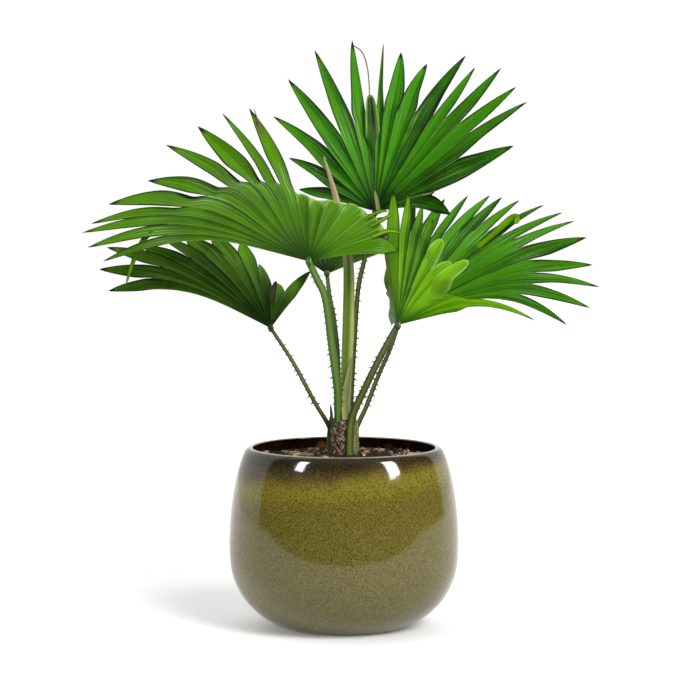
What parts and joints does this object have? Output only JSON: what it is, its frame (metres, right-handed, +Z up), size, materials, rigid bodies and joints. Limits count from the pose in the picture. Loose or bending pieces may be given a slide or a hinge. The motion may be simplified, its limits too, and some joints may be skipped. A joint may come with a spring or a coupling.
{
  "type": "potted chinese fan palm",
  "caption": "Young fan palm with pleated fan fronds on spiny petioles and a closed spear leaf, rooted in soil in a rounded glazed stoneware pot.",
  "frame": {"origin": "centre of the pot's foot, on the plane it stands on", "axes": "+Z up along the pot's axis, front of the plant towards -Y, +X to the right seen from the front"},
  "size_m": [0.522, 0.3974, 0.6137],
  "materials": {
    "glaze": "gloss reactive glaze, dark brown rim running to olive",
    "soil": "matte damp soil with bark chips",
    "stem_fibre": "matte brown fibre",
    "leaf_green": "satin leaf",
    "leaf_dark": "satin leaf",
    "leaf_lime": "satin leaf",
    "leaf_spear": "satin leaf"
  },
  "bodies": {
    "root": {"pot": "glaze", "soil": "soil", "stem": "stem_fibre", "frond_top": "leaf_green", "frond_left_upper": "leaf_green", "frond_left_lower": "leaf_dark", "frond_right_far": "leaf_dark", "frond_right_near": "leaf_lime", "frond_back": "leaf_green", "spear_leaf": "leaf_spear"}
  },
  "joints": []
}
